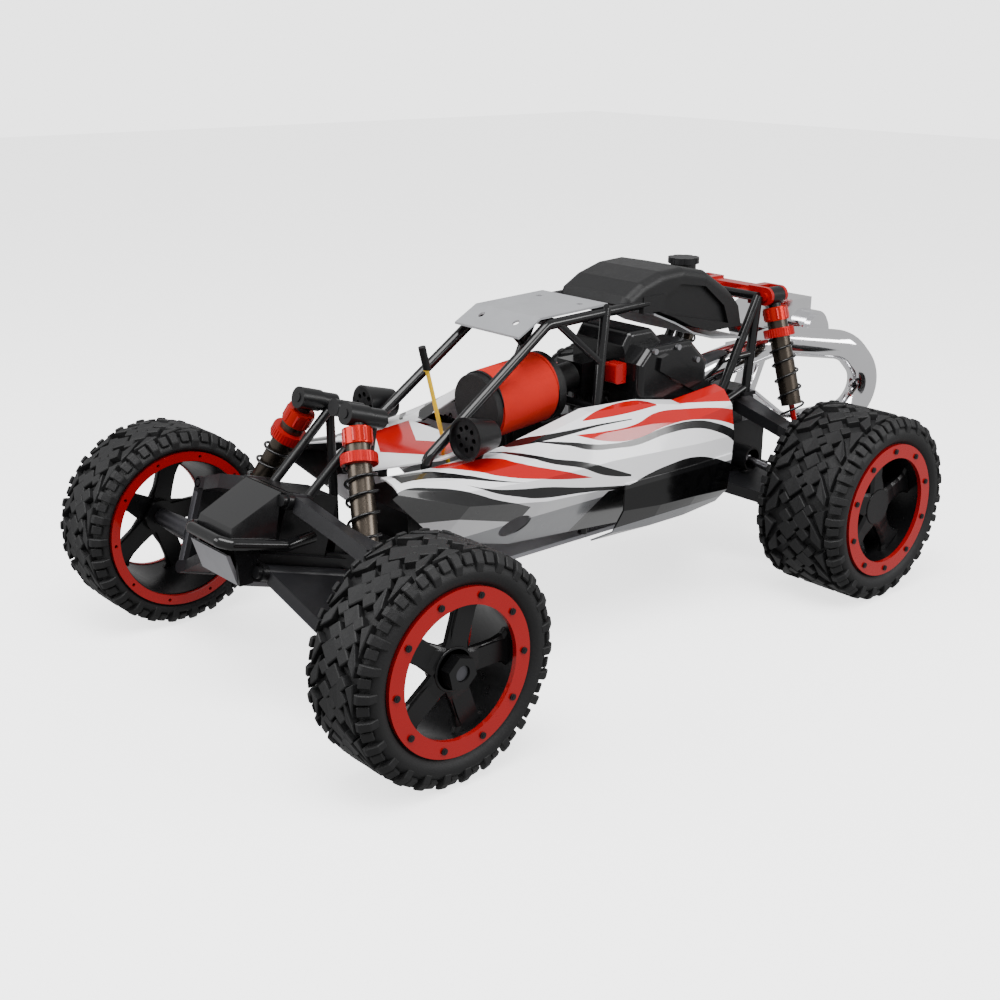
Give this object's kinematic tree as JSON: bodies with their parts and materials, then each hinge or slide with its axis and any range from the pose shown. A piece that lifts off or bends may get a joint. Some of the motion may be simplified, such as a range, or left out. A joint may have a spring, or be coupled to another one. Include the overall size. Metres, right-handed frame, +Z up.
{
  "type": "radio-controlled petrol buggy",
  "caption": "Large-scale off-road buggy with double-wishbone suspension, coil shocks, tube cage, rear petrol engine, chrome exhaust loop and block-tread tyres.",
  "frame": {"origin": "on the ground, under the middle of the overall length and width", "axes": "+X forward, +Y to the left side of the vehicle, +Z up"},
  "size_m": [0.8169, 0.4838, 0.3226],
  "materials": {
    "tyre_rubber": "matte moulded",
    "rim_black": "satin",
    "ring_red": "anodised gloss",
    "arm_plastic": "moulded nylon",
    "upright_alloy": "machined",
    "link_steel": "turned",
    "shock_alloy": "hard anodised",
    "shock_steel": "polished",
    "spring_black": "gloss",
    "chassis_grey": "hard anodised",
    "cage_black": "gloss powder coat",
    "bulkhead_black": "moulded nylon",
    "roof_grey": "satin",
    "panel_white": "gloss with printed flames",
    "lamp_black": "gloss",
    "filter_red": "open foam",
    "engine_black": "satin",
    "grip_black": "moulded",
    "switch_red": "gloss",
    "tank_black": "satin",
    "exhaust_chrome": "polished",
    "gear_black": "moulded nylon",
    "brace_red": "anodised gloss",
    "box_black": "moulded"
  },
  "bodies": {
    "chassis": {"chassis_plate": "chassis_grey", "front_bulkhead": "bulkhead_black", "front_bumper": "cage_black", "roll_cage": "cage_black", "roof_plate": "roof_grey", "body_panels": "panel_white", "headlights": "lamp_black", "air_filter": "filter_red", "engine": "engine_black", "fuel_tank": "tank_black", "exhaust": "exhaust_chrome", "gearbox": "gear_black", "rear_brace": "brace_red", "radio_box": "box_black"},
    "rack": {"steering_rack": "link_steel"},
    "front_left_arm": {"front_left_lower_arm": "arm_plastic"},
    "front_left_link": {"front_left_upper_arm": "arm_plastic"},
    "front_left_carrier": {"front_left_hub_carrier": "arm_plastic"},
    "front_left_damper": {"front_left_shock_body": "shock_alloy", "front_left_shock_spring": "spring_black"},
    "front_left_damper_rod": {"front_left_shock_rod": "shock_steel"},
    "front_left_wheel": {"front_left_rim": "rim_black", "front_left_tyre": "tyre_rubber", "front_left_bead_rings": "ring_red"},
    "front_left_knuckle": {"front_left_knuckle": "upright_alloy"},
    "front_left_tie": {"front_left_tie_rod": "link_steel"},
    "rear_left_arm": {"rear_left_lower_arm": "arm_plastic"},
    "rear_left_link": {"rear_left_upper_arm": "arm_plastic"},
    "rear_left_carrier": {"rear_left_hub_carrier": "arm_plastic"},
    "rear_left_damper": {"rear_left_shock_body": "shock_alloy", "rear_left_shock_spring": "spring_black"},
    "rear_left_damper_rod": {"rear_left_shock_rod": "shock_steel"},
    "rear_left_wheel": {"rear_left_rim": "rim_black", "rear_left_tyre": "tyre_rubber", "rear_left_bead_rings": "ring_red"},
    "rear_left_halfshaft": {"rear_left_driveshaft": "link_steel"},
    "front_right_arm": {"front_right_lower_arm": "arm_plastic"},
    "front_right_link": {"front_right_upper_arm": "arm_plastic"},
    "front_right_carrier": {"front_right_hub_carrier": "arm_plastic"},
    "front_right_damper": {"front_right_shock_body": "shock_alloy", "front_right_shock_spring": "spring_black"},
    "front_right_damper_rod": {"front_right_shock_rod": "shock_steel"},
    "front_right_wheel": {"front_right_rim": "rim_black", "front_right_tyre": "tyre_rubber", "front_right_bead_rings": "ring_red"},
    "front_right_knuckle": {"front_right_knuckle": "upright_alloy"},
    "front_right_tie": {"front_right_tie_rod": "link_steel"},
    "rear_right_arm": {"rear_right_lower_arm": "arm_plastic"},
    "rear_right_link": {"rear_right_upper_arm": "arm_plastic"},
    "rear_right_carrier": {"rear_right_hub_carrier": "arm_plastic"},
    "rear_right_damper": {"rear_right_shock_body": "shock_alloy", "rear_right_shock_spring": "spring_black"},
    "rear_right_damper_rod": {"rear_right_shock_rod": "shock_steel"},
    "rear_right_wheel": {"rear_right_rim": "rim_black", "rear_right_tyre": "tyre_rubber", "rear_right_bead_rings": "ring_red"},
    "rear_right_halfshaft": {"rear_right_driveshaft": "link_steel"},
    "handle": {"pull_handle": "grip_black"},
    "switch": {"kill_switch": "switch_red"},
    "cap": {"fuel_cap": "tank_black"}
  },
  "joints": [
    {"name": "steering_rack", "type": "slide", "parent": "chassis", "child": "rack", "axis": [0, 1, 0], "range_m": [-0.00942, 0.00942]},
    {"name": "front_left_suspension", "type": "hinge", "parent": "chassis", "child": "front_left_arm", "pos_m": [0.31176, 0.036, 0.10824], "axis": [0.9563, 0, 0.2924], "range_deg": [-8, 10], "stiffness_Nm_per_rad": 70, "springref_deg": -3.44},
    {"name": "front_left_upper_link", "type": "hinge", "parent": "chassis", "child": "front_left_link", "pos_m": [0.29422, 0.031, 0.16562], "axis": [0.9563, 0, 0.2924], "range_deg": [-8.76, 10.7]},
    {"name": "front_left_upright", "type": "hinge", "parent": "front_left_arm", "child": "front_left_carrier", "pos_m": [0.32434, 0.136, 0.06712], "axis": [0.9563, 0, 0.2924], "range_deg": [-8.42, 6.93]},
    {"name": "front_left_damper_pivot", "type": "hinge", "parent": "chassis", "child": "front_left_damper", "pos_m": [0.26168, 0.035, 0.23786], "axis": [0.9563, 0, 0.2924], "range_deg": [-3.34, 3.92]},
    {"name": "front_left_damper_slide", "type": "slide", "parent": "front_left_damper", "child": "front_left_damper_rod", "axis": [0.2593, 0.4617, -0.8483], "range_m": [-0.01217, 0.00993], "deforming": ["front_left_shock_spring"]},
    {"name": "front_left_kingpin", "type": "hinge", "parent": "front_left_carrier", "child": "front_left_knuckle", "pos_m": [0.31615, 0.152, 0.0939], "axis": [-0.2924, 0, 0.9563], "range_deg": [-18.5, 18.5]},
    {"name": "front_left_tie_rod_pivot", "type": "hinge", "parent": "rack", "child": "front_left_tie", "pos_m": [0.27167, 0.033, 0.13677], "axis": [0.9563, 0, 0.2924], "range_deg": [-8, 9.75]},
    {"name": "front_left_wheel_spin", "type": "hinge", "parent": "front_left_knuckle", "child": "front_left_wheel", "pos_m": [0.31615, 0.2043, 0.0939], "axis": [0, 1, 0], "continuous": true},
    {"name": "rear_left_suspension", "type": "hinge", "parent": "chassis", "child": "rear_left_arm", "pos_m": [-0.24265, 0.038, 0.0849], "axis": [1, 0, 0], "range_deg": [-8, 10], "stiffness_Nm_per_rad": 90, "springref_deg": -4.01},
    {"name": "rear_left_upper_link", "type": "hinge", "parent": "chassis", "child": "rear_left_link", "pos_m": [-0.24265, 0.04, 0.1719], "axis": [1, 0, 0], "range_deg": [-9.4, 11.49]},
    {"name": "rear_left_upright", "type": "hinge", "parent": "rear_left_arm", "child": "rear_left_carrier", "pos_m": [-0.24265, 0.123, 0.0719], "axis": [1, 0, 0], "range_deg": [-13.28, 10.82]},
    {"name": "rear_left_damper_pivot", "type": "hinge", "parent": "chassis", "child": "rear_left_damper", "pos_m": [-0.26065, 0.05, 0.2799], "axis": [1, 0, 0], "range_deg": [-1.3, 1.38]},
    {"name": "rear_left_damper_slide", "type": "slide", "parent": "rear_left_damper", "child": "rear_left_damper_rod", "axis": [0, 0.2974, -0.9548], "range_m": [-0.01313, 0.0107], "deforming": ["rear_left_shock_spring"]},
    {"name": "rear_left_wheel_spin", "type": "hinge", "parent": "rear_left_carrier", "child": "rear_left_wheel", "pos_m": [-0.24265, 0.179, 0.0939], "axis": [0, 1, 0], "continuous": true},
    {"name": "rear_left_halfshaft_spin", "type": "hinge", "parent": "rear_left_arm", "child": "rear_left_halfshaft", "pos_m": [-0.24265, 0.044, 0.1059], "axis": [0, 0.9857, -0.1683], "continuous": true},
    {"name": "front_right_suspension", "type": "hinge", "parent": "chassis", "child": "front_right_arm", "pos_m": [0.31176, -0.036, 0.10824], "axis": [-0.9563, 0, -0.2924], "range_deg": [-8, 10], "stiffness_Nm_per_rad": 70, "springref_deg": -3.44},
    {"name": "front_right_upper_link", "type": "hinge", "parent": "chassis", "child": "front_right_link", "pos_m": [0.29422, -0.031, 0.16562], "axis": [-0.9563, 0, -0.2924], "range_deg": [-8.76, 10.7]},
    {"name": "front_right_upright", "type": "hinge", "parent": "front_right_arm", "child": "front_right_carrier", "pos_m": [0.32434, -0.136, 0.06712], "axis": [-0.9563, 0, -0.2924], "range_deg": [-8.42, 6.93]},
    {"name": "front_right_damper_pivot", "type": "hinge", "parent": "chassis", "child": "front_right_damper", "pos_m": [0.26168, -0.035, 0.23786], "axis": [-0.9563, 0, -0.2924], "range_deg": [-3.34, 3.92]},
    {"name": "front_right_damper_slide", "type": "slide", "parent": "front_right_damper", "child": "front_right_damper_rod", "axis": [0.2593, -0.4617, -0.8483], "range_m": [-0.01217, 0.00993], "deforming": ["front_right_shock_spring"]},
    {"name": "front_right_kingpin", "type": "hinge", "parent": "front_right_carrier", "child": "front_right_knuckle", "pos_m": [0.31615, -0.152, 0.0939], "axis": [-0.2924, 0, 0.9563], "range_deg": [-18.5, 18.5]},
    {"name": "front_right_tie_rod_pivot", "type": "hinge", "parent": "rack", "child": "front_right_tie", "pos_m": [0.27167, -0.033, 0.13677], "axis": [-0.9563, 0, -0.2924], "range_deg": [-8, 9.75]},
    {"name": "front_right_wheel_spin", "type": "hinge", "parent": "front_right_knuckle", "child": "front_right_wheel", "pos_m": [0.31615, -0.2043, 0.0939], "axis": [0, 1, 0], "continuous": true},
    {"name": "rear_right_suspension", "type": "hinge", "parent": "chassis", "child": "rear_right_arm", "pos_m": [-0.24265, -0.038, 0.0849], "axis": [-1, 0, 0], "range_deg": [-8, 10], "stiffness_Nm_per_rad": 90, "springref_deg": -4.01},
    {"name": "rear_right_upper_link", "type": "hinge", "parent": "chassis", "child": "rear_right_link", "pos_m": [-0.24265, -0.04, 0.1719], "axis": [-1, 0, 0], "range_deg": [-9.4, 11.49]},
    {"name": "rear_right_upright", "type": "hinge", "parent": "rear_right_arm", "child": "rear_right_carrier", "pos_m": [-0.24265, -0.123, 0.0719], "axis": [-1, 0, 0], "range_deg": [-13.28, 10.82]},
    {"name": "rear_right_damper_pivot", "type": "hinge", "parent": "chassis", "child": "rear_right_damper", "pos_m": [-0.26065, -0.05, 0.2799], "axis": [-1, 0, 0], "range_deg": [-1.3, 1.38]},
    {"name": "rear_right_damper_slide", "type": "slide", "parent": "rear_right_damper", "child": "rear_right_damper_rod", "axis": [0, -0.2974, -0.9548], "range_m": [-0.01313, 0.0107], "deforming": ["rear_right_shock_spring"]},
    {"name": "rear_right_wheel_spin", "type": "hinge", "parent": "rear_right_carrier", "child": "rear_right_wheel", "pos_m": [-0.24265, -0.179, 0.0939], "axis": [0, 1, 0], "continuous": true},
    {"name": "rear_right_halfshaft_spin", "type": "hinge", "parent": "rear_right_arm", "child": "rear_right_halfshaft", "pos_m": [-0.24265, -0.044, 0.1059], "axis": [0, 0.9857, 0.1683], "continuous": true},
    {"name": "starter_pull", "type": "slide", "parent": "chassis", "child": "handle", "axis": [0, -1, 0], "range_m": [0, 0.03], "stiffness_N_per_m": 40, "springref_m": -0.02},
    {"name": "kill_press", "type": "slide", "parent": "chassis", "child": "switch", "axis": [-1, 0, 0], "range_m": [0, 0.0015], "stiffness_N_per_m": 400, "springref_m": -0.001},
    {"name": "cap_turn", "type": "hinge", "parent": "chassis", "child": "cap", "pos_m": [-0.17525, 0, 0.3163], "axis": [0, 0, 1], "range_deg": [-90, 0]}
  ],
  "couplings": [
    {"joint": "front_left_upper_link", "follows": "front_left_suspension", "ratio": 0.96956},
    {"joint": "front_left_upright", "follows": "front_left_suspension", "ratio": -0.74154},
    {"joint": "front_left_damper_pivot", "follows": "front_left_suspension", "ratio": 0.29208},
    {"joint": "front_left_damper_slide", "follows": "front_left_suspension", "m_per_rad": -0.06398},
    {"joint": "front_left_kingpin", "follows": "steering_rack", "rad_per_m": -33.333},
    {"joint": "front_left_tie_rod_pivot", "follows": "front_left_suspension", "ratio": 0.875},
    {"joint": "rear_left_upper_link", "follows": "rear_left_suspension", "ratio": 1.0494},
    {"joint": "rear_left_upright", "follows": "rear_left_suspension", "ratio": -1.2276},
    {"joint": "rear_left_damper_pivot", "follows": "rear_left_suspension", "ratio": 0.03775},
    {"joint": "rear_left_damper_slide", "follows": "rear_left_suspension", "m_per_rad": -0.06949},
    {"joint": "rear_left_halfshaft_spin", "follows": "rear_left_wheel_spin", "ratio": 1},
    {"joint": "front_right_upper_link", "follows": "front_right_suspension", "ratio": 0.96956},
    {"joint": "front_right_upright", "follows": "front_right_suspension", "ratio": -0.74154},
    {"joint": "front_right_damper_pivot", "follows": "front_right_suspension", "ratio": 0.29208},
    {"joint": "front_right_damper_slide", "follows": "front_right_suspension", "m_per_rad": -0.06398},
    {"joint": "front_right_kingpin", "follows": "steering_rack", "rad_per_m": -33.333},
    {"joint": "front_right_tie_rod_pivot", "follows": "front_right_suspension", "ratio": 0.875},
    {"joint": "rear_right_upper_link", "follows": "rear_right_suspension", "ratio": 1.0494},
    {"joint": "rear_right_upright", "follows": "rear_right_suspension", "ratio": -1.2276},
    {"joint": "rear_right_damper_pivot", "follows": "rear_right_suspension", "ratio": 0.03775},
    {"joint": "rear_right_damper_slide", "follows": "rear_right_suspension", "m_per_rad": -0.06949},
    {"joint": "rear_right_halfshaft_spin", "follows": "rear_right_wheel_spin", "ratio": 1}
  ]
}
